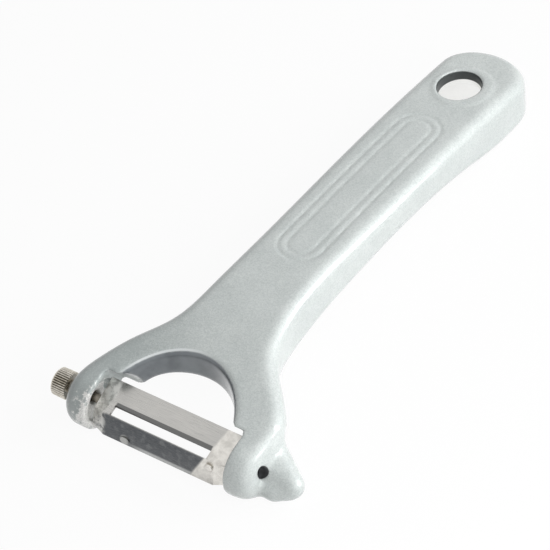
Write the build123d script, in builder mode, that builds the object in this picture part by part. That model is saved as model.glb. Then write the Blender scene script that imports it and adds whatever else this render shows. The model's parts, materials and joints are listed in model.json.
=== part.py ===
"""Y-form vegetable peeler: cast frame with fork, swivel blade, thumb screw and pivot pin.

Millimetres. The peeler lies as on a table: +X runs along the blade's pivot to the lug's side,
+Y runs along the handle from the blade to the hanging hole, and +Z is up. The origin is at the
middle of the whole outline, on the table.
"""
import os
from math import cos, radians, sin

from build123d import *

# Overall sizes
overall_length = 180.0
overrun = 4.0
running_clearance = 0.05
straight_share = 0.999
side_clearance = 0.4

# Handle
handle_width = 26.6
tail_width = 28.0
tail_round = 12.0
handle_thickness = 14.8
neck_thickness = 14.4
tail_thickness = 14.6
outer_rounding = 4.2
neck_rise = 15.6
back_rise = 15.9
back_share = 0.38
rear_rise = 11.45
rear_share = 0.75

# Fork and ears
fork_width = 62.8
ear_width = 8.2
ear_radius = 8.8
pocket_radius = 10.0
arm_thickness = 9.2
arm_share = 0.4
throat_depth = 18.5
throat_lip = 2.2
seat_radius = 6.4
seat_depth = 2.3
throat_web = 9.5
foot_angle = 15.0
front_angle = 45.0
fork_angle = 10.0
tail_angle = 8.0
neck_length = 33.0
neck_width = 28.4
neck_share = 1.24
middle_share = 0.42
lug_side_shares = ((0.58, 0.84), (0.855, 0.54), (1.015, 0.26))
screw_side_shares = ((0.535, 0.84), (0.745, 0.54), (0.91, 0.26))
inner_rounding = 2.0

# Lug beside the right ear
lug_reach = 42.7
lug_base_radius = 5.4
lug_waist_radius = 4.3
lug_tip_radius = 3.8
lug_root_back = 9.0
lug_root_rise = 2.4
lug_root_inset = 6.0
lug_tip_back = 2.2
lug_tip_drop = 2.6
lug_tip_turn = 76.0
rib_base_radius = 4.0
rib_waist_radius = 3.8
rib_tip_radius = 3.4
rib_root_drop = 4.6
rib_tip_back = 1.4
rib_tip_drop = 3.6
rib_setback = 0.8

# Hanging hole
hole_width = 12.4
hole_length = 14.6
hole_shift = 1.2
hole_setback = 21.0
collar_width = 2.4
collar_step = 0.35
mouth_rounding = 0.8

# Hollow under the handle, as in a casting with an even wall
web_thickness = 5.2
hollow_width = 17.6
hollow_start = 42.0
hollow_end_wall = 5.8

# Double outline pressed into the handle's top
motif_width = 14.6
motif_gap = 2.7
motif_line = 0.9
motif_depth = 0.2
motif_start = 59.0
motif_length = 74.0

# Blade
blade_sheet = 0.9
sheet_back_share = 0.8
sheet_down_share = 0.87
slot_setback = 7.5
slot_screw_setback = 6.4
crease_setback = 4.7
top_flange_back = 5.0
top_flange_rise = 5.25
slot_back = 2.0
slot_back_rise = 3.5
slot_front = 5.2
slot_front_rise = 2.6
foot_front = 7.1
foot_drop = 4.55
end_fall = 1.2
tab_radius = 4.8

# Thumb screw and pin
screw_radius = 2.0
tip_radius = 1.35
tip_engagement = 1.6
screw_neck = 2.2
shank_setback = 1.5
knob_radius = 4.3
knob_length = 4.7
knob_slot_width = 1.1
knob_slot_depth = 1.4
knob_slot_turn = 35.0
knurl_count = 36
knurl_depth = 0.35
knurl_turn = 45.0
thread_pitch = 0.7
thread_depth = 0.3
pin_radius = 1.6
pin_recess = 2.6
pin_chamfer = 0.32
mouth_reach = 1.4

# Places that follow from the sizes
half_fork = fork_width / 2
half_gap = half_fork - ear_width
ear_gap = 2 * half_gap
half_handle = handle_width / 2
half_tail = tail_width / 2
half_throat = half_gap - throat_lip
half_hole = hole_width / 2
knob_face = half_fork + screw_neck
tail_y = overall_length - ear_radius
left_reach = knob_face + knob_length
pivot = Vector((left_reach - lug_reach) / 2, ear_radius - overall_length / 2, ear_radius)
side_view = Plane(origin=pivot, x_dir=(0, 1, 0), z_dir=(1, 0, 0))
plan_view = Plane(origin=pivot, x_dir=(1, 0, 0), z_dir=(0, 0, 1))


def outer_side(shares, side):
    """One side of the outline from above, from the tail to the ear."""
    half = [
        (half_tail, tail_y - tail_round),
        (half_handle, tail_y * middle_share),
        (neck_width / 2, neck_length * neck_share),
        *[(half_fork * across, neck_length * back) for across, back in shares],
        ear_side,
    ]
    return [(side * across, back) for across, back in half]


def mirrored(point):
    """The same place on the left half."""
    return (-point[0], point[1])


def raised(points, amount):
    """The same points of a side outline, moved up."""
    return [(y, z + amount) for y, z in points]


def mouth_edges(edges):
    """The rounds of the hanging hole's upper and lower mouths."""
    hole_y = tail_y - hole_setback
    inside = []
    for edge in edges:
        place = edge @ 0.5 - pivot
        wide = abs(place.X + hole_shift) < half_hole + side_clearance
        near = abs(place.Y - hole_y) < hole_length / 2 + side_clearance
        if wide and near and not along(edge, Axis.Z):
            inside.append(edge)
    return inside


def along(edge, axis):
    """Whether the edge is a straight line along the axis."""
    return edge.geom_type == GeomType.LINE and abs((edge % 0).dot(axis.direction)) > straight_share


def in_throat(edge):
    """Whether the middle of the edge lies on the wall of the fork's throat."""
    place = edge @ 0.5 - pivot
    return abs(place.X) < half_gap + side_clearance and place.Y < throat_depth + side_clearance


def blade_section(fall):
    """Outline of the folded strip across the pivot line, drawn in by fall at its ridge and foot."""
    return [
        back_edge,
        (ridge_top[0], ridge_top[1] - fall),
        (ridge_low[0] + fall, ridge_low[1] - fall),
        (foot_edge[0] + fall, foot_edge[1] + fall),
        heel,
    ]


def hollow_section(fall):
    """The strip's inner faces: the same outline moved back and down, and run out past the back."""
    outline = [(y + sheet_back, z - sheet_down) for y, z in blade_section(fall)]
    past_back = (outline[0][0] + overrun, outline[0][1] + overrun * flange_slope)
    past_foot = (outline[3][0] - overrun * foot_slope, outline[3][1] - overrun)
    return [past_back, *outline[1:3], past_foot, (past_back[0], past_foot[1])]


# Cast frame: the outline from above, cut to the bowed outline from the side
fork_pitch = radians(fork_angle)
ear_top = (-ear_radius * sin(fork_pitch), ear_radius * cos(fork_pitch))
ear_side = (half_fork, ear_top[0])


straight_ends = ((0, -1), (0, -1))
front = -ear_radius - overrun
throat_corner = (half_throat, -ear_radius - running_clearance)


collar_plane = plan_view.shift_origin(pivot + Vector(0, tail_y - hole_setback, 0))
hole_plane = collar_plane.shift_origin(collar_plane.origin - Vector(hole_shift, 0, 0))
hollow_length = tail_y - hollow_end_wall - hollow_start
hollow_plane = plan_view.shift_origin(pivot + Vector(0, hollow_start + hollow_length / 2, 0))
motif_plane = plan_view.shift_origin(pivot + Vector(0, motif_start + motif_length / 2, 0))


back_y = tail_y * back_share
rear_y = tail_y * rear_share
tail_rise = tail_thickness - ear_radius
throat_rise = ear_radius + (neck_rise - ear_radius) * throat_depth / neck_length
arm_start = neck_length * arm_share
arm_rise = ear_radius + (neck_rise - ear_radius) * arm_start / neck_length
tail_pitch = radians(tail_angle)
foot_turn = radians(foot_angle)
past_tail = (tail_y + overrun, tail_rise - overrun * sin(tail_pitch))
arm_foot = (ear_radius * cos(foot_turn), -ear_radius * sin(foot_turn))
front_turn = radians(front_angle)
ear_front = (-ear_radius * cos(front_turn), -ear_radius * sin(front_turn))
back_line = [
    past_tail,
    (rear_y, rear_rise),
    (back_y, back_rise),
    (neck_length, neck_rise),
    ear_top,
]
back_ends = ((-cos(tail_pitch), sin(tail_pitch)), (-cos(fork_pitch), -sin(fork_pitch)))

lug_x = half_fork - lug_root_inset
tip_x = lug_reach - lug_tip_radius
lug_horns = [
    (
        Vector(lug_x, lug_root_back, lug_root_rise),
        Vector(tip_x, lug_tip_back, -lug_tip_drop),
        lug_base_radius,
        lug_waist_radius,
        lug_tip_radius,
    ),
    (
        Vector(lug_x, 0, -rib_root_drop),
        Vector(tip_x - rib_setback, rib_tip_back, -rib_tip_drop),
        rib_base_radius,
        rib_waist_radius,
        rib_tip_radius,
    ),
]

with BuildPart() as cast_frame:
    with BuildSketch(plan_view.offset(-overall_length)):
        with BuildLine():
            EllipticalCenterArc(
                (0, tail_y - tail_round), half_tail, tail_round, start_angle=0, arc_size=180
            )
            Spline(*outer_side(screw_side_shares, -1), tangents=straight_ends)
            Polyline(mirrored(ear_side), (-half_fork, front), (half_fork, front), ear_side)
            Spline(*outer_side(lug_side_shares, 1), tangents=straight_ends)
        make_face()
        with BuildLine():
            EllipticalCenterArc(
                (0, throat_corner[1]),
                half_throat,
                throat_depth - throat_corner[1],
                start_angle=0,
                arc_size=180,
            )
            Polyline(
                mirrored(throat_corner),
                (-half_throat, front - overrun),
                (half_throat, front - overrun),
                throat_corner,
            )
        make_face(mode=Mode.SUBTRACT)
    extrude(amount=2 * overall_length)
    with BuildSketch(side_view.offset(-overall_length)):
        with BuildLine():
            Spline(*back_line, tangents=back_ends)
            Polyline(
                past_tail,
                (past_tail[0], -ear_radius),
                (tail_y - tail_round, -ear_radius),
            )
            Spline(
                (tail_y - tail_round, -ear_radius),
                (rear_y, rear_rise - handle_thickness),
                (back_y, back_rise - handle_thickness),
                (neck_length, neck_rise - neck_thickness),
                (throat_depth, throat_rise - throat_web),
                (arm_start, arm_rise - arm_thickness),
                arm_foot,
                tangents=((-1, 0), (-sin(foot_turn), -cos(foot_turn))),
            )
            ThreePointArc(
                arm_foot,
                ear_front,
                ear_top,
            )
        make_face()
    extrude(amount=2 * overall_length, mode=Mode.INTERSECT)
    rim = [edge for edge in cast_frame.edges() if not along(edge, Axis.X) and not along(edge, Axis.Z)]
    outer_rim = [edge for edge in rim if not in_throat(edge)]
    inner_rim = [edge for edge in rim if in_throat(edge)]
    fillet(outer_rim, radius=outer_rounding)
    fillet(inner_rim, radius=inner_rounding)

    # Lug: a blunt horn that grows out of the right ear, and the rib that fills in below it
    for root, tip, thick, slim, blunt in lug_horns:
        reach = (tip - root).length
        across = (tip - root).cross(Vector(0, 0, 1)).normalized()
        horn_plane = Plane(origin=pivot + root, x_dir=across, z_dir=across.cross(tip - root))
        with BuildSketch(horn_plane):
            with BuildLine():
                Line((0, 0), (thick, 0))
                Spline(
                    (thick, 0),
                    (slim, reach / 2),
                    (blunt, reach),
                    tangents=((-1, 2), (0, 1)),
                )
                tip_arc = CenterArc((0, reach), blunt, 0, lug_tip_turn)
                Polyline(tip_arc @ 1, (0, (tip_arc @ 1).Y), (0, 0))
            make_face()
        revolve(axis=Axis(horn_plane.origin, horn_plane.y_dir))

    # Round pocket milled between the ears, in which the blade swings
    with BuildSketch(side_view.offset(-half_gap)):
        Circle(pocket_radius)
    extrude(amount=ear_gap, mode=Mode.SUBTRACT)

    # Round seat sunk into the left ear's inner face, around the screw's bore
    with BuildSketch(side_view.offset(-half_gap - seat_depth)):
        Circle(seat_radius)
    extrude(amount=seat_depth + side_clearance, mode=Mode.SUBTRACT)

    # Low collar around the hanging hole, its top parallel to the back
    with BuildPart(mode=Mode.PRIVATE) as collar:
        with BuildSketch(side_view.offset(-half_fork)):
            with BuildLine():
                Spline(*raised(back_line, collar_step), tangents=back_ends)
                Polyline(
                    (past_tail[0], past_tail[1] + collar_step),
                    (past_tail[0], 0),
                    (ear_top[0], 0),
                    (ear_top[0], ear_top[1] + collar_step),
                )
            make_face()
        extrude(amount=fork_width)
        with BuildSketch(collar_plane):
            Ellipse(half_hole + collar_width, hole_length / 2 + collar_width)
        extrude(amount=overall_length, both=True, mode=Mode.INTERSECT)
    add(collar.part)

    # Hollow under the handle, its ceiling parallel to the back
    with BuildPart(mode=Mode.PRIVATE) as hollow:
        with BuildSketch(side_view.offset(-half_fork)):
            with BuildLine():
                Spline(*raised(back_line, -web_thickness), tangents=back_ends)
                Polyline(
                    (past_tail[0], past_tail[1] - web_thickness),
                    (past_tail[0], -overall_length),
                    (ear_top[0], -overall_length),
                    (ear_top[0], ear_top[1] - web_thickness),
                )
            make_face()
        extrude(amount=fork_width)
        with BuildSketch(hollow_plane.offset(-overall_length)):
            SlotOverall(hollow_length, hollow_width, rotation=90)
        extrude(amount=2 * overall_length, mode=Mode.INTERSECT)
    add(hollow.part, mode=Mode.SUBTRACT)
    with BuildSketch(hole_plane):
        Ellipse(half_hole, hole_length / 2)
    extrude(amount=overall_length, both=True, mode=Mode.SUBTRACT)
    fillet(mouth_edges(cast_frame.edges()), radius=mouth_rounding)

    # Two closed outlines pressed into the back, one inside the other
    with BuildPart(mode=Mode.PRIVATE) as motif:
        with BuildSketch(side_view.offset(-half_fork)):
            with BuildLine():
                Spline(*raised(back_line, -motif_depth), tangents=back_ends)
                Polyline(
                    (past_tail[0], past_tail[1] - motif_depth),
                    (past_tail[0], overall_length),
                    (ear_top[0], overall_length),
                    (ear_top[0], ear_top[1] - motif_depth),
                )
            make_face()
        extrude(amount=fork_width)
        with BuildSketch(motif_plane):
            for drawn_in in (0, motif_gap):
                width, length = motif_width - 2 * drawn_in, motif_length - 2 * drawn_in
                SlotOverall(length, width, rotation=90)
                SlotOverall(
                    length - 2 * motif_line, width - 2 * motif_line, rotation=90, mode=Mode.SUBTRACT
                )
        extrude(amount=overall_length, mode=Mode.INTERSECT)
    add(motif.part, mode=Mode.SUBTRACT)

    # Bores on the pivot line: threaded on the left, pressed pin on the right
    with BuildSketch(side_view.offset(-half_fork - overrun)):
        Circle(screw_radius + running_clearance)
    extrude(amount=ear_width + 2 * overrun, mode=Mode.SUBTRACT)
    with BuildSketch(side_view.offset(half_gap - overrun)):
        Circle(pin_radius)
    extrude(amount=overrun + ear_width + mouth_reach, mode=Mode.SUBTRACT)

cast_frame.part.label = "cast_frame"
os.makedirs("parts", exist_ok=True)
export_step(cast_frame.part, "parts/cast_frame.step")


# Swivel blade: a folded strip, its flanges open at the back and closed by a tab at each end
half_crease = half_gap - crease_setback
slot_length = ear_gap - slot_setback - slot_screw_setback
half_blade = half_gap - side_clearance
back_edge = (top_flange_back, top_flange_rise)
ridge_top = (-slot_back, slot_back_rise)
ridge_low = (-slot_front, slot_front_rise)
foot_edge = (-foot_front, -foot_drop)
heel = (tab_radius - foot_front / 2, -tab_radius)
flange_slope = (back_edge[1] - ridge_top[1]) / (back_edge[0] - ridge_top[0])
foot_slope = (ridge_low[0] - foot_edge[0]) / (ridge_low[1] - foot_edge[1])
sheet_back = blade_sheet * sheet_back_share
sheet_down = blade_sheet * sheet_down_share


half_hollow = half_blade - blade_sheet
hollow_fall = end_fall * (half_hollow - half_crease) / (half_blade - half_crease)
stations = [(-half_blade, end_fall), (-half_crease, 0), (half_crease, 0), (half_blade, end_fall)]
hollow_stations = [
    (-half_hollow, hollow_fall),
    (-half_crease, 0),
    (half_crease, 0),
    (half_hollow, hollow_fall),
]

with BuildPart() as swivel_blade:
    for x, fall in stations:
        with BuildSketch(side_view.offset(x)):
            with BuildLine():
                Polyline(*blade_section(fall), close=True)
            make_face()
    loft(ruled=True)
    with BuildPart(mode=Mode.SUBTRACT):
        for x, fall in hollow_stations:
            with BuildSketch(side_view.offset(x)):
                with BuildLine():
                    Polyline(*hollow_section(fall), close=True)
                make_face()
        loft(ruled=True)
    # Slot between the two cutting edges
    with BuildSketch(side_view.offset(slot_screw_setback - half_gap)):
        with BuildLine():
            Polyline(
                ridge_top,
                (ridge_top[0] - overrun, ridge_top[1] + overrun),
                (ridge_low[0] - overrun, ridge_low[1] + overrun),
                ridge_low,
                (ridge_low[0] + sheet_back, ridge_low[1] - sheet_down),
                (ridge_top[0], ridge_top[1] - 2 * blade_sheet),
                close=True,
            )
        make_face()
    extrude(amount=slot_length, mode=Mode.SUBTRACT)
    # Pivot holes: the screw's tip runs in the left tab, the pin in the right one
    for x, radius in ((-half_gap, tip_radius), (0, pin_radius)):
        with BuildSketch(side_view.offset(x)):
            Circle(radius + running_clearance)
        extrude(amount=half_gap, mode=Mode.SUBTRACT)

swivel_blade.part.label = "swivel_blade"
export_step(swivel_blade.part, "parts/swivel_blade.step")


shank_outline = [(0, 0), (0, screw_radius)]
for turn in range(int(screw_neck / thread_pitch)):
    crest = turn * thread_pitch
    shank_outline += [
        (crest + thread_pitch / 2, screw_radius - thread_depth),
        (crest + thread_pitch, screw_radius),
    ]
shank_length = knob_face - half_gap - seat_depth - shank_setback
shank_outline += [(shank_length, screw_radius), (shank_length, 0)]

# Thumb screw: slotted knob, threaded shank in the left ear and a plain tip in the blade's tab
with BuildPart() as thumb_screw:
    with BuildSketch(side_view.offset(-left_reach)):
        Circle(knob_radius)
    extrude(amount=knob_length)
    chamfer(thumb_screw.edges(), length=knurl_depth)
    with BuildSketch(side_view.offset(-left_reach)):
        with PolarLocations(knob_radius, knurl_count):
            Rectangle(2 * knurl_depth, 2 * knurl_depth, rotation=knurl_turn)
    extrude(amount=knob_length, mode=Mode.SUBTRACT)
    with BuildSketch(side_view.offset(-left_reach)):
        Rectangle(2 * knob_radius + overrun, knob_slot_width, rotation=knob_slot_turn)
    extrude(amount=knob_slot_depth, mode=Mode.SUBTRACT)
    # Shank, its thread shown as rings where it stands out of the ear
    with BuildSketch(Plane(origin=pivot - Vector(knob_face, 0, 0), x_dir=(1, 0, 0), z_dir=(0, -1, 0))):
        with BuildLine():
            Polyline(*shank_outline, close=True)
        make_face()
    revolve(axis=Axis(pivot, (1, 0, 0)))
    with BuildSketch(side_view.offset(shank_length - knob_face)):
        Circle(tip_radius)
    extrude(amount=shank_setback + seat_depth + tip_engagement)

thumb_screw.part.label = "thumb_screw"
export_step(thumb_screw.part, "parts/thumb_screw.step")


# Pivot pin: pressed into the right ear, its end in the blade's right tab
with BuildPart() as pivot_pin:
    with BuildSketch(side_view.offset(half_gap - tip_engagement)):
        Circle(pin_radius)
    extrude(amount=tip_engagement + ear_width - pin_recess)
    chamfer(pivot_pin.edges().group_by(Axis.X)[0], length=pin_chamfer)

pivot_pin.part.label = "pivot_pin"
export_step(pivot_pin.part, "parts/pivot_pin.step")
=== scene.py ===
"""Vegetable peeler: the soft casting and the blade, all finishes, floor, lights and camera."""
import json
from math import radians, sqrt

import bmesh
import bpy
from mathutils import Matrix, Vector


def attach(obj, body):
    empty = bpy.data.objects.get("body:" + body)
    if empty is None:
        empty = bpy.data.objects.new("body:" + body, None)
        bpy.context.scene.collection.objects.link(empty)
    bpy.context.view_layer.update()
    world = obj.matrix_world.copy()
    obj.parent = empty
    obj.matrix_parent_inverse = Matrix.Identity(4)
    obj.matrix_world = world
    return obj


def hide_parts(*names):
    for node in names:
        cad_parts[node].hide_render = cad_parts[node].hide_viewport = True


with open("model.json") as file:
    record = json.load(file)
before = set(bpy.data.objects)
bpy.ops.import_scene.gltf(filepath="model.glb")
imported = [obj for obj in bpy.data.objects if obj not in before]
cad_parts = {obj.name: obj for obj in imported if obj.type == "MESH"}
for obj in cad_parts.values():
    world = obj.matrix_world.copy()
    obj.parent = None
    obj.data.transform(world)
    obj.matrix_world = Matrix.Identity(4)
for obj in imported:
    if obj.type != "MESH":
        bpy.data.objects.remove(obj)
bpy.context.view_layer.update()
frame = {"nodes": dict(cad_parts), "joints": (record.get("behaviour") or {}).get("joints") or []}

scene = bpy.context.scene
MM = 0.001
pivot = Vector(next(joint["pos_m"] for joint in frame["joints"] if joint["name"] == "blade_swivel"))

# Places are in millimetres from the blade's pivot: x runs along the pivot line to the lug,
# y runs along the handle to the hanging hole, and z is up
BORE_RADIUS = 1.75
BORE_END, BORE_RUN = Vector((29.4, 0.2, -0.2)), Vector((6.0, -3.4, 6.4))
HOLLOW_START, HOLLOW_END = 50.8, 156.6
HOLE_X, HOLE_Y = -1.2, 150.2
HOLE_HALF_WIDTH, HOLE_HALF_LENGTH = 6.2, 7.3
LEFT_PIP, RIGHT_PIP = (-11.2, -6.85, -3.2), (17.0, -5.95, 0.5)
LEFT_PIP_HALVES, RIGHT_PIP_HALVES = (1.6, 0.5, 1.1), (1.3, 0.7, 1.2)
MIDDLE = 0.5


class Value:
    """A socket of a finish, so that masks are written as sums and products."""

    def __init__(self, finish, socket):
        self.finish, self.socket = finish, socket

    def math(self, operation, first, second=0.0, clamp=False):
        settings = {"operation": operation, "use_clamp": clamp}
        return self.finish.node("ShaderNodeMath", settings, {0: first, 1: second})

    def __add__(self, other):
        return self.math("ADD", self, other)

    def __radd__(self, other):
        return self.math("ADD", other, self)

    def __sub__(self, other):
        return self.math("SUBTRACT", self, other)

    def __rsub__(self, other):
        return self.math("SUBTRACT", other, self)

    def __mul__(self, other):
        return self.math("MULTIPLY", self, other)

    def __rmul__(self, other):
        return self.math("MULTIPLY", other, self)

    def __truediv__(self, other):
        return self.math("DIVIDE", self, other)

    def clamped(self):
        return self.math("ADD", self, 0.0, True)

    def upper(self, other):
        return self.math("MAXIMUM", self, other)

    def root(self):
        return self.math("POWER", self, 0.5)

    def swing(self, reach):
        """A noise moved to vary evenly about nought, over the reach."""
        return (self - MIDDLE) * reach

    def rising(self, start, end):
        """0 up to start, 1 from end on, and smooth between them."""
        settings = {"interpolation_type": "SMOOTHSTEP"}
        return self.finish.node(
            "ShaderNodeMapRange", settings, {"Value": self, "From Min": start, "From Max": end}
        )

    def falling(self, start, end):
        """1 up to start, 0 from end on, and smooth between them."""
        return 1 - self.rising(start, end)

    def band(self, rise, fall):
        """1 between the end of the rise and the start of the fall."""
        return self.rising(*rise) * self.falling(*fall)


class Finish:
    """Shader nodes that end at one output. Places are in millimetres from the pivot."""

    def __init__(self, tree, output="ShaderNodeOutputMaterial"):
        self.tree = tree
        self.tree.nodes.clear()
        self.output = self.tree.nodes.new(output)

    def node(self, kind, settings=None, sockets=None, out=0):
        """Adds a node: its settings first, then the values or links of its sockets."""
        made = self.tree.nodes.new(kind)
        for key, value in (settings or {}).items():
            setattr(made, key, value)
        for key, value in (sockets or {}).items():
            if isinstance(value, Value):
                self.tree.links.new(value.socket, made.inputs[key])
            else:
                made.inputs[key].default_value = value
        return Value(self, made.outputs[out])

    def vector(self, operation, sockets, out=0):
        return self.node("ShaderNodeVectorMath", {"operation": operation}, sockets, out)

    def place(self):
        """Object coordinates in millimetres from the pivot."""
        held = self.node("ShaderNodeTexCoord", out="Object")
        moved = self.vector("SUBTRACT", {0: held, 1: tuple(pivot)})
        return self.vector("SCALE", {0: moved, "Scale": 1 / MM})

    def along(self, place):
        """The three numbers of a place."""
        return [self.node("ShaderNodeSeparateXYZ", sockets={0: place}, out=axis) for axis in range(3)]

    def stretched(self, place, scale):
        return self.vector("MULTIPLY", {0: place, 1: scale})

    def noise(self, place, scale, detail=2.0, roughness=0.5):
        sockets = {"Vector": place, "Scale": scale, "Detail": detail, "Roughness": roughness}
        return self.node("ShaderNodeTexNoise", sockets=sockets)

    def cells(self, place, scale):
        """A random number for each small cell."""
        hue = self.node("ShaderNodeTexVoronoi", sockets={"Vector": place, "Scale": scale}, out="Color")
        return self.node("ShaderNodeSeparateXYZ", sockets={0: hue})

    def distance(self, place, point):
        return self.vector("DISTANCE", {0: place, 1: point}, "Value")

    def from_line(self, place, point, run):
        """The distance of a place from a line."""
        offset = self.vector("SUBTRACT", {0: place, 1: tuple(point)})
        cross = self.vector("CROSS_PRODUCT", {0: offset, 1: tuple(run.normalized())})
        return self.vector("LENGTH", {0: cross}, "Value")

    def mix(self, share, first, second):
        """A colour between two colours."""
        return self.node(
            "ShaderNodeMix", {"data_type": "RGBA"}, {0: share, 6: first, 7: second}, out=2
        )

    def blend(self, share, first, second):
        """A shader between two shaders."""
        return self.node("ShaderNodeMixShader", sockets={0: share, 1: first, 2: second})

    def bump(self, height, strength, distance):
        sockets = {"Height": height, "Strength": strength, "Distance": distance * MM}
        return self.node("ShaderNodeBump", sockets=sockets)

    def skin(self, **sockets):
        named = {name.replace("_", " "): value for name, value in sockets.items()}
        return self.node("ShaderNodeBsdfPrincipled", sockets=named)

    def shows(self, shader):
        self.tree.links.new(shader.socket, self.output.inputs["Surface"])


def new_material(name):
    """A new material, and the finish that fills its nodes."""
    material = bpy.data.materials.new(name)
    material.use_nodes = True
    return material, Finish(material.node_tree)


def colour(red, green, blue):
    """A colour given as it shows on screen, from 0 to 255."""
    return tuple(((part / 255 + 0.055) / 1.055) ** 2.4 for part in (red, green, blue)) + (1,)


# Silver paint: its colours and their spread, where it is worn or bare, and the shade, highlight and
# light painted into it
PAINT_DIM, PAINT_PALE = colour(172, 180, 179), colour(218, 223, 221)
CAST_DIM, CAST_PALE = colour(206, 206, 203), colour(253, 253, 250)
# Painted shade and dark reflection for the throat's inner wall
THROAT_SHADE_DIM, THROAT_SHADE_PALE = colour(92, 98, 103), colour(124, 130, 134)
# A painted highlight for the throat's lip, and painted shade for the right ear's bore
LIP_HIGHLIGHT, BORE_PAINTED_SHADE = colour(236, 240, 241), colour(84, 86, 88)
# Painted light for the hollow, and painted shade for the hanging hole's wall
HOLLOW_PAINTED_LIGHT, HOLE_WALL_PAINTED_SHADE = colour(246, 246, 244), colour(72, 76, 76)
PAINT_LEVEL, FLAKE_SPREAD, TONE_SPREAD, GRIT_SPREAD = 0.55, 0.42, 0.5, 0.5
WORN_MIDDLE, WORN_REACH, WORN_RAGGED = (-23.5, -2.5, -0.5), (6.8, 8.2), 9
EAR_INSIDE = (-28.5, -26.5), (-20, -18)
THROAT_Y, THROAT_HALF_WIDTH, THROAT_DEPTH = -8.85, 21, 27.35
THROAT_WALL, THROAT_START, THROAT_RAGGED = (1.03, 1.07), (1.5, 4.5), 0.02
LIP_RING, LIP_RUN, LIP_RISE = ((1.045, 1.06), (1.085, 1.11)), ((-20, -16), (-6, 6)), (5, 7)
LIP_HIGHLIGHT_SHARE = 0.8
# Painted shade: where the left arm is made darker, and by how much
LEFT_ARM_ACROSS, LEFT_ARM_BACK, LEFT_ARM_PAINTED_SHADE = (-26, -2), (12, 45), 0.55
BORE_EDGE, BORE_START = 0.12, (28.4, 28.6)
HOLLOW_SIDE, HOLE_WALL, WEB_EDGE = (9.0, 9.2), (1.03, 1.06), (-0.1, 0.1)
WEB_RISE, WEB_FRONT, WEB_FALL = 13.8, 45, 0.0793


def silver_paint():
    """Silver paint with fine flakes and orange peel, worn to the bare casting at the left ear."""
    material, paint = new_material("silver_paint")
    place = paint.place()
    x, y, z = paint.along(place)
    flakes = paint.cells(place, 3.2)
    tone = paint.noise(place, 0.11, 3.0)
    peel = paint.noise(place, 0.9, 2.0)
    grit = paint.noise(place, 2.6, 3.0, 0.65)
    ragged = paint.noise(place, 0.55, 3.0, 0.6)

    # Bare metal around the left ear's bore, painted shade and dark reflection on the throat's wall, a
    # painted highlight along the lip above it
    worn = (paint.distance(place, WORN_MIDDLE) + ragged.swing(WORN_RAGGED)).falling(*WORN_REACH)
    worn = worn * x.band(*EAR_INSIDE)
    across, back = x / THROAT_HALF_WIDTH, (y - THROAT_Y) / THROAT_DEPTH
    ring = across * across + back * back
    # Painted shade: the throat's inner wall is coloured darker, and its paint made more metallic and
    # glossy
    throat_shade = (ring + ragged.swing(THROAT_RAGGED)).falling(*THROAT_WALL) * y.rising(*THROAT_START)
    # Painted highlight: a thin pale line along the throat's lip
    lip_highlight = ring.band(*LIP_RING) * x.band(*LIP_RUN) * z.rising(*LIP_RISE)

    # Bare metal in the hollow, coloured near white as painted light so the hollow shows bright through
    # the hanging hole; painted shade on the hanging hole's wall and in the right ear's bore
    past = (HOLLOW_START - y).upper(y - HOLLOW_END).upper(0)
    above_web = (z - (WEB_RISE - (y - WEB_FRONT) * WEB_FALL)).rising(*WEB_EDGE)
    # Painted light: the bare metal of the hollow under the web is coloured near white
    hollow_lit = (x * x + past * past).root().falling(*HOLLOW_SIDE) * (1 - above_web)
    # Painted shade on the hanging hole's wall
    along_hole, across_hole = (y - HOLE_Y) / HOLE_HALF_LENGTH, (x - HOLE_X) / HOLE_HALF_WIDTH
    hole_wall_shade = (along_hole * along_hole + across_hole * across_hole).root()
    hole_wall_shade = hole_wall_shade.falling(*HOLE_WALL) * above_web
    # Painted shade inside the right ear's bore
    bore = paint.from_line(place, BORE_END, BORE_RUN).falling(BORE_RADIUS, BORE_RADIUS + BORE_EDGE)
    bore = bore * x.rising(*BORE_START)

    level = flakes.swing(FLAKE_SPREAD) + tone.swing(TONE_SPREAD) + grit.swing(GRIT_SPREAD)
    level = level + PAINT_LEVEL
    # Painted shade: the paint is darker on the left arm
    level = level - x.falling(*LEFT_ARM_ACROSS) * y.falling(*LEFT_ARM_BACK) * LEFT_ARM_PAINTED_SHADE
    base = paint.mix(level.clamped(), PAINT_DIM, PAINT_PALE)
    # Painted shade on the throat's inner wall
    base = paint.mix(throat_shade, base, paint.mix(tone.rising(0.3, 0.7), THROAT_SHADE_DIM, THROAT_SHADE_PALE))
    # Painted highlight along the throat's lip
    base = paint.mix(lip_highlight * LIP_HIGHLIGHT_SHARE, base, LIP_HIGHLIGHT)
    base = paint.mix(worn, base, paint.mix(grit.rising(0.3, 0.7), CAST_DIM, CAST_PALE))
    # Painted shade in the right ear's bore
    base = paint.mix(bore, base, BORE_PAINTED_SHADE)
    # Painted light in the hollow
    base = paint.mix(hollow_lit, base, HOLLOW_PAINTED_LIGHT)
    # Painted shade on the hanging hole's wall
    base = paint.mix(hole_wall_shade, base, HOLE_WALL_PAINTED_SHADE)
    bare = worn.upper(hollow_lit)
    height = peel * 0.7 + grit * 0.3 + (grit * 3 - 1.2) * worn
    paint.shows(
        paint.skin(
            Base_Color=base,
            Metallic=0.12 + 0.25 * worn + throat_shade * 0.2 + hollow_lit * 0.88,
            Roughness=0.42 + grit.swing(0.14) - throat_shade * 0.1 - bare * 0.1,
            Coat_Weight=0.9 * (1 - bare) * (1 - hole_wall_shade),
            Coat_Roughness=0.09,
            Specular_IOR_Level=0.3,
            Normal=paint.bump(height, 0.5, 0.05),
        )
    )
    return material


# Blade steel: its colours, with the light, shade and reflection painted among them, and the parts of
# the strip
BACK_DIM, BACK_PALE = colour(178, 177, 174), colour(200, 198, 194)
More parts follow.
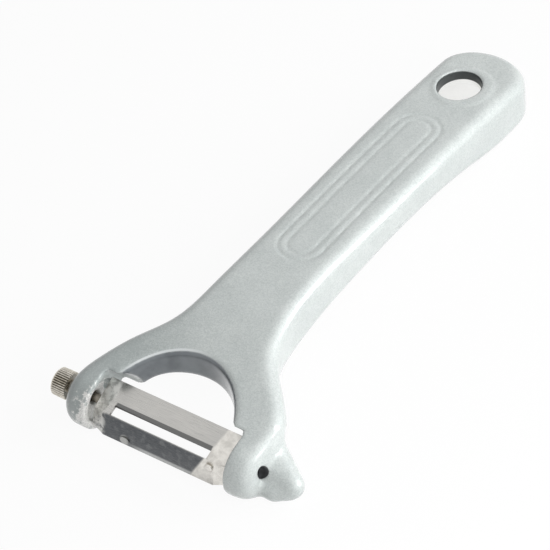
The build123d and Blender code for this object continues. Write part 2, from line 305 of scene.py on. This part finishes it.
# Painted light for the blade's right end web, which faces the light
WEB_LIT_DIM, WEB_LIT_PALE = colour(206, 203, 197), colour(234, 231, 225)
# A painted dark reflection for the front flange, and the colour of its stain spots
FRONT_REFLECTION_DIM, FRONT_REFLECTION_PALE, FRONT_STAIN = colour(78, 80, 83), colour(108, 110, 112), colour(150, 152, 152)
EDGE_PALE, LEFT_END_PALE = colour(196, 197, 196), colour(240, 239, 235)
# Painted shade for the slot's cut face, and a painted highlight for the left pip
CUT_FACE_PAINTED_SHADE, PIP_HIGHLIGHT = colour(112, 112, 111), colour(186, 186, 183)
FRONT_FLANGE = (-5.35, -5.05)
WEB_SIDE, WEB_SLANT, BROW_RISE = (14.6, 15.6), 0.58, 2.6
LEFT_END = (-19.5, -17.5)
EDGE_RISE, EDGE_RUN = (-3.9, -3.2), (-12, -3)
CUT_DEPTH, CUT_RUN = ((-3.2, -2.6), (-1.25, -1.05)), ((-16.9, -16.5), (15.4, 15.7))
PIP_REACH = (1.0, 1.9)
STAIN_SHARE, EDGE_SHARE, LEFT_END_SHARE, PIP_HIGHLIGHT_SHARE = 0.25, 0.8, 0.85, 0.8


def blade_steel():
    """Rolled strip with lengthwise grain. Its front flange is darkened as a painted dark reflection
    and carries stain spots, and its lower edge is ground paler.
    """
    material, steel = new_material("blade_steel")
    place = steel.place()
    x, y, z = steel.along(place)
    grain = steel.noise(steel.stretched(place, (0.12, 3.0, 3.0)), 2.0, 3.0, 0.6)
    scratch = steel.noise(steel.stretched(place, (0.5, 6.0, 6.0)), 1.2, 4.0, 0.7)
    spots = steel.noise(place, 0.5, 4.0, 0.62)
    wide = steel.noise(place, 0.09, 2.0)

    # Painted light: the right end web is coloured paler
    lit_web = (x + (BROW_RISE - z) * WEB_SLANT).rising(*WEB_SIDE)
    front = y.falling(*FRONT_FLANGE) * (1 - lit_web)
    edge = z.falling(*EDGE_RISE) * front * x.rising(*EDGE_RUN)
    # Paler and mottled at the blade's left end, and less metallic there
    pale_left_end = x.falling(*LEFT_END) * spots.rising(0.36, 0.58)
    # Painted shade on the slot's cut face
    cut = y.band(*CUT_DEPTH) * x.band(*CUT_RUN)
    # Painted highlight on the left pip
    pip_highlight = steel.distance(place, LEFT_PIP).falling(*PIP_REACH)

    # Painted dark reflection on the front flange, with stain spots over it
    reflection_and_stains = steel.mix(scratch.rising(0.3, 0.75), FRONT_REFLECTION_DIM, FRONT_REFLECTION_PALE)
    reflection_and_stains = steel.mix(spots.rising(0.5, 0.7) * STAIN_SHARE, reflection_and_stains, FRONT_STAIN)
    base = steel.mix(grain.rising(0.2, 0.8), BACK_DIM, BACK_PALE)
    # Painted light on the right end web
    base = steel.mix(lit_web, base, steel.mix(spots.rising(0.3, 0.7), WEB_LIT_DIM, WEB_LIT_PALE))
    base = steel.mix(front, base, reflection_and_stains)
    base = steel.mix(edge * EDGE_SHARE, base, EDGE_PALE)
    base = steel.mix(pale_left_end * LEFT_END_SHARE, base, LEFT_END_PALE)
    # Painted shade on the slot's cut face
    base = steel.mix(cut, base, CUT_FACE_PAINTED_SHADE)
    # Painted highlight on the left pip
    base = steel.mix(pip_highlight * PIP_HIGHLIGHT_SHARE, base, PIP_HIGHLIGHT)
    steel.shows(
        steel.skin(
            Base_Color=base,
            Metallic=0.9 - pale_left_end * 0.5,
            Roughness=0.3 + grain.swing(0.16) + wide.swing(0.1) + front * 0.04,
            Normal=steel.bump(grain * 0.6 + scratch * 0.4, 0.35, 0.03),
        )
    )
    return material


# Nickel of the thumb screw, and the steel of the pin, which is coloured dark as painted shade of its
# bore
NICKEL_DIM, NICKEL_PALE = colour(190, 185, 174), colour(230, 225, 215)
# Painted shade for the knurls, and a darker colour for the thread
KNURL_PAINTED_SHADE, THREAD_SHADE = colour(92, 88, 82), colour(112, 104, 94)
# Painted shade: the pin's steel is coloured dark for the bottom of its bore
PIN_SHADED_DIM, PIN_SHADED_PALE = colour(84, 84, 84), colour(128, 127, 125)
KNURL_DEPTH, KNOB_END, KNOB_FACE = (3.75, 4.2), (-33.7, -33.5), (-38.1, -37.9)
THREAD_START, THREAD_SHARE = (-31, -30.6), 0.6


def nickel():
    """Nickel plate, warm, with painted shade down in the knurls, and darker on the thread."""
    material, plate = new_material("nickel")
    place = plate.place()
    x, y, z = plate.along(place)
    grime = plate.noise(place, 1.1, 4.0, 0.6)
    knob = x.falling(*KNOB_END)
    # Painted shade below the crests of the knurls
    knurls = (y * y + z * z).root().falling(*KNURL_DEPTH) * knob * x.rising(*KNOB_FACE)
    base = plate.mix(grime.rising(0.35, 0.7), NICKEL_DIM, NICKEL_PALE)
    base = plate.mix(knurls, base, KNURL_PAINTED_SHADE)
    base = plate.mix((1 - knob) * x.rising(*THREAD_START) * THREAD_SHARE, base, THREAD_SHADE)
    relief = plate.bump(grime, 0.3, 0.04)
    rough = 0.24 + grime.swing(0.2)
    plate.shows(plate.skin(Base_Color=base, Metallic=1.0, Roughness=rough, Normal=relief))
    return material


def pin_steel():
    """Plain turned steel, coloured dark as painted shade for the bottom of its bore."""
    material, turned = new_material("pin_steel")
    rings = turned.noise(turned.stretched(turned.place(), (6.0, 0.8, 0.8)), 1.5, 3.0)
    base = turned.mix(rings, PIN_SHADED_DIM, PIN_SHADED_PALE)
    turned.shows(turned.skin(Base_Color=base, Metallic=1.0, Roughness=0.35 + rings.swing(0.2)))
    return material


# Working of meshes
MERGE = 0.002


def merged(node):
    """A copy of a node's mesh with its loose triangles joined, in millimetres from the pivot."""
    work = bmesh.new()
    work.from_mesh(frame["nodes"][node].data)
    bmesh.ops.translate(work, vec=-pivot, verts=work.verts)
    bmesh.ops.scale(work, vec=(1 / MM, 1 / MM, 1 / MM), verts=work.verts)
    bmesh.ops.remove_doubles(work, verts=work.verts, dist=MERGE)
    return work


def held_object(name, work):
    """A bmesh as an object, which isn't in the scene yet."""
    mesh = bpy.data.meshes.new(name)
    work.to_mesh(mesh)
    work.free()
    return bpy.data.objects.new(name, mesh)


def shaped(work, kind, settings):
    """The bmesh that one modifier makes of a bmesh."""
    rough = held_object("rough", work)
    scene.collection.objects.link(rough)
    step = rough.modifiers.new(kind.lower(), kind)
    for key, value in settings.items():
        setattr(step, key, value)
    result = bmesh.new()
    result.from_object(rough, bpy.context.evaluated_depsgraph_get())
    bpy.data.objects.remove(rough)
    return result


def smoothed(work, verts, passes):
    """Rounds what the vertices form, a little more with each pass."""
    for _ in range(passes):
        bmesh.ops.smooth_vert(
            work, verts=verts, factor=0.5, use_axis_x=True, use_axis_y=True, use_axis_z=True
        )


def ball(work, centre, halves):
    """A rounded swelling with its own half widths."""
    place = Matrix.Translation(centre) @ Matrix.Diagonal((*halves, 1))
    bmesh.ops.create_icosphere(work, subdivisions=4, radius=1, matrix=place)


def shown(name, work, body, finish, replaced):
    """A finished piece from its bmesh, put back in metres, in place of a node."""
    bmesh.ops.scale(work, vec=(MM, MM, MM), verts=work.verts)
    bmesh.ops.translate(work, vec=pivot, verts=work.verts)
    piece = held_object(name, work)
    piece.data.materials.append(finish)
    piece.data.shade_smooth()
    scene.collection.objects.link(piece)
    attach(piece, body)
    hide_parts(replaced)


# Casting
GRID = 0.49
EDGE_PASSES, LUG_PASSES = 3, 40
LUG_LOW, LUG_HIGH = (26.0, -9.0, -9.0), (45.0, 14.0, 9.0)
LUG_FILLS = (((33.0, 3.6, -1.2), (5.0, 4.6, 4.6)), ((34.5, -0.4, -4.2), (3.6, 3.6, 3.4)))
GROOVES, GROOVE_REACH, GROOVE_DEPTH = (4.15, 6.85), 0.62, 0.14
GROOVE_START, GROOVE_END, BACK_LEVEL = 66.3, 125.7, 8.0
DRILL_SIDES = 48


def pressed_outlines(work):
    """Presses the two closed outlines into the handle's top, after the softening."""
    for vert in work.verts:
        x, y, z = vert.co
        if z < BACK_LEVEL:
            continue
        past = max(GROOVE_START - y, 0, y - GROOVE_END)
        away = sqrt(x * x + past * past)
        for groove in GROOVES:
            share = 1 - ((away - groove) / GROOVE_REACH) ** 2
            if share > 0:
                vert.co.z -= GROOVE_DEPTH * share


def drilled(work):
    """The casting with the mouth of the right ear's bore drilled again."""
    drill = bmesh.new()
    turn = BORE_RUN.to_track_quat("Z", "Y").to_matrix().to_4x4()
    bmesh.ops.create_cone(
        drill,
        cap_ends=True,
        segments=DRILL_SIDES,
        radius1=BORE_RADIUS,
        radius2=BORE_RADIUS,
        depth=BORE_RUN.length,
        matrix=Matrix.Translation(BORE_END + BORE_RUN / 2) @ turn,
    )
    cutter = held_object("drill", drill)
    cut = {"object": cutter, "operation": "DIFFERENCE", "solver": "MANIFOLD"}
    work = shaped(work, "BOOLEAN", cut)
    bpy.data.objects.remove(cutter)
    return work


def soft_casting():
    """The casting with every edge rounded as by a mould and paint, and a soft lug."""
    work = merged("cast_frame")
    for centre, halves in LUG_FILLS:
        ball(work, centre, halves)
    work = shaped(work, "REMESH", {"mode": "VOXEL", "voxel_size": GRID})
    smoothed(work, work.verts, EDGE_PASSES)
    lug = [v for v in work.verts if all(a < c < b for a, c, b in zip(LUG_LOW, v.co, LUG_HIGH))]
    smoothed(work, lug, LUG_PASSES)
    pressed_outlines(work)
    return drilled(work)


# Blade
EASED, SHARP, LEVEL = 0.2, radians(25), radians(1.5)


def stamped_blade():
    """The folded blade with eased edges and the two pips pressed out of its front."""
    work = merged("swivel_blade")
    bmesh.ops.dissolve_limit(work, angle_limit=LEVEL, verts=work.verts, edges=work.edges)
    edges = [edge for edge in work.edges if edge.is_manifold and edge.calc_face_angle(0) > SHARP]
    bmesh.ops.bevel(
        work,
        geom=edges,
        offset=EASED,
        offset_type="OFFSET",
        affect="EDGES",
        segments=2,
        profile=0.5,
        material=-1,
        clamp_overlap=True,
    )
    ball(work, LEFT_PIP, LEFT_PIP_HALVES)
    ball(work, RIGHT_PIP, RIGHT_PIP_HALVES)
    return work


shown("casting", soft_casting(), "frame", silver_paint(), "cast_frame")
shown("blade", stamped_blade(), "blade", blade_steel(), "swivel_blade")
for node, finish in (("thumb_screw", nickel()), ("pivot_pin", pin_steel())):
    for held in frame["nodes"][node].material_slots:
        held.material = finish


# Floor and world
FLOOR_SIZE = 8.0
PAPER = (0.9, 0.9, 0.9, 1)
WHITE = (1, 1, 1, 1)
FLOOR_WHITE_SHARE = 0.94
WORLD_LEVEL = 0.18


def white_seen(finish, share):
    """Share of a plain white for the camera and for what gloss and glass show."""
    rays = [
        finish.node("ShaderNodeLightPath", out=name)
        for name in ("Is Camera Ray", "Is Glossy Ray", "Is Transmission Ray")
    ]
    return (rays[0] + rays[1] + rays[2]).clamped() * share


floor_work = bmesh.new()
bmesh.ops.create_grid(floor_work, x_segments=1, y_segments=1, size=FLOOR_SIZE / 2)
floor = held_object("floor", floor_work)
scene.collection.objects.link(floor)
floor_material, sheet = new_material("floor_paper")
paper = sheet.skin(Base_Color=PAPER, Roughness=0.9)
glow = sheet.node("ShaderNodeEmission", sockets={"Color": WHITE, "Strength": 1.0})
sheet.shows(sheet.blend(white_seen(sheet, FLOOR_WHITE_SHARE), paper, glow))
floor.data.materials.append(floor_material)

world = bpy.data.worlds.new("studio")
scene.world = world
world.use_nodes = True
sky = Finish(world.node_tree, "ShaderNodeOutputWorld")
plain = sky.node("ShaderNodeBackground", sockets={"Color": WHITE, "Strength": WORLD_LEVEL})
white = sky.node("ShaderNodeBackground", sockets={"Color": WHITE, "Strength": 1.0})
sky.shows(sky.blend(white_seen(sky, 1.0), plain, white))


# Lamps: direction, distance, width, length along the handle, power, and whether gloss shows it
LAMPS = {
    "side_lamp": ((0.7, -0.46, 0.62), 0.3, 0.14, 0.14, 0.34, False),
    "ear_lamp": ((0.88, 0.12, 0.45), 0.5, 0.14, 0.14, 0.42, True),
    "back_lamp": ((0.4, 0.66, 0.64), 0.46, 0.3, 0.3, 0.82, False),
    "edge_lamp": ((0.705, 0.554, 0.443), 1.1, 0.13, 0.9, 4.4, True),
}
for name, (direction, distance, width, length, power, glossy) in LAMPS.items():
    light = bpy.data.lights.new(name, "AREA")
    light.shape, light.size, light.size_y, light.energy = "RECTANGLE", width, length, power
    lamp = bpy.data.objects.new(name, light)
    scene.collection.objects.link(lamp)
    towards = Vector(direction).normalized()
    lamp.location = towards * distance
    lamp.rotation_euler = towards.to_track_quat("Z", "Y").to_euler()
    lamp.visible_glossy = glossy


# Camera
CAMERA_PLACE = Vector((486.98, -555.19, 788.38)) * MM
CAMERA_AIM = Vector((-8.51, 64.68, 0)) * MM
CAMERA_START_X = -0.9 * MM
CAMERA_ROLL = radians(-6.06)
VIEW_ANGLE = radians(8.005)
NEAREST, FARTHEST = 0.05, 20
lens = bpy.data.cameras.new("camera")
lens.angle = VIEW_ANGLE
lens.clip_start, lens.clip_end = NEAREST, FARTHEST
camera = bpy.data.objects.new("camera", lens)
scene.collection.objects.link(camera)
camera.location = pivot + Vector((CAMERA_START_X, 0, 0)) + CAMERA_PLACE
look = (CAMERA_AIM - CAMERA_PLACE).to_track_quat("-Z", "Y").to_matrix().to_4x4()
camera.rotation_euler = (look @ Matrix.Rotation(CAMERA_ROLL, 4, "Z")).to_euler()
scene.camera = camera
scene.view_settings.view_transform = "Standard"
